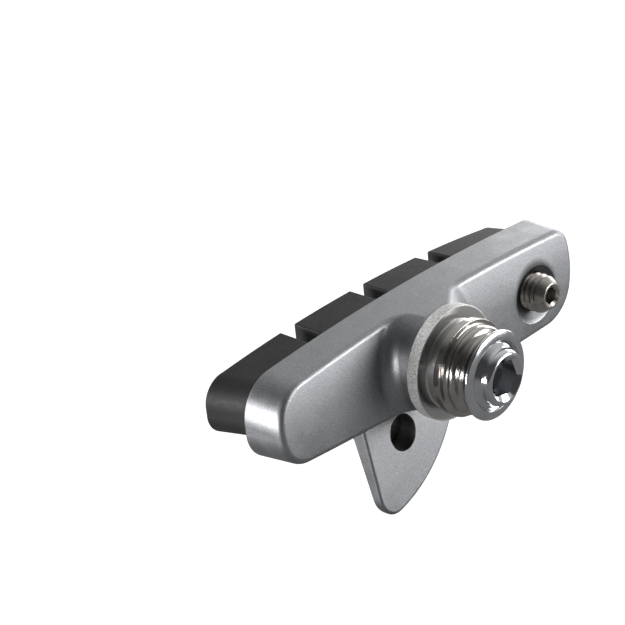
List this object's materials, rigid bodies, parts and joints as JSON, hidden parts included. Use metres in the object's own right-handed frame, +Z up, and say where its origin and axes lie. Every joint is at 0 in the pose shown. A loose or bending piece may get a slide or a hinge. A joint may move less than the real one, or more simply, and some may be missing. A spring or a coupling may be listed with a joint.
{
  "type": "bicycle rim brake pad",
  "caption": "Road calliper brake shoe: open-ended cast holder, slide-in grooved rubber block, wheel guide fin, ball and cup washers and flanged hex socket bolt.",
  "frame": {"origin": "on the bolt's axis, at the outer face of the cup washer, where the brake arm is clamped", "axes": "+X along the shoe to the holder's open end, +Y along the bolt's axis to the rim, +Z up, away from the wheel guide fin"},
  "size_m": [0.0551, 0.0246, 0.0249],
  "materials": {
    "holder_coat": "satin silver-grey coat with a fine grain",
    "brake_rubber": "matte black moulded rubber",
    "blasted_alloy": "bead-blasted matte",
    "polished_steel": "polished, slightly warm",
    "bolt_chrome": "bright polished",
    "screw_steel": "dark nickelled steel"
  },
  "bodies": {
    "root": {"shoe_holder": "holder_coat", "pad_insert": "brake_rubber", "seat_washer": "blasted_alloy", "cup_washer": "polished_steel", "fixing_bolt": "bolt_chrome", "stop_screw": "screw_steel", "guide_screw": "screw_steel"}
  },
  "joints": []
}
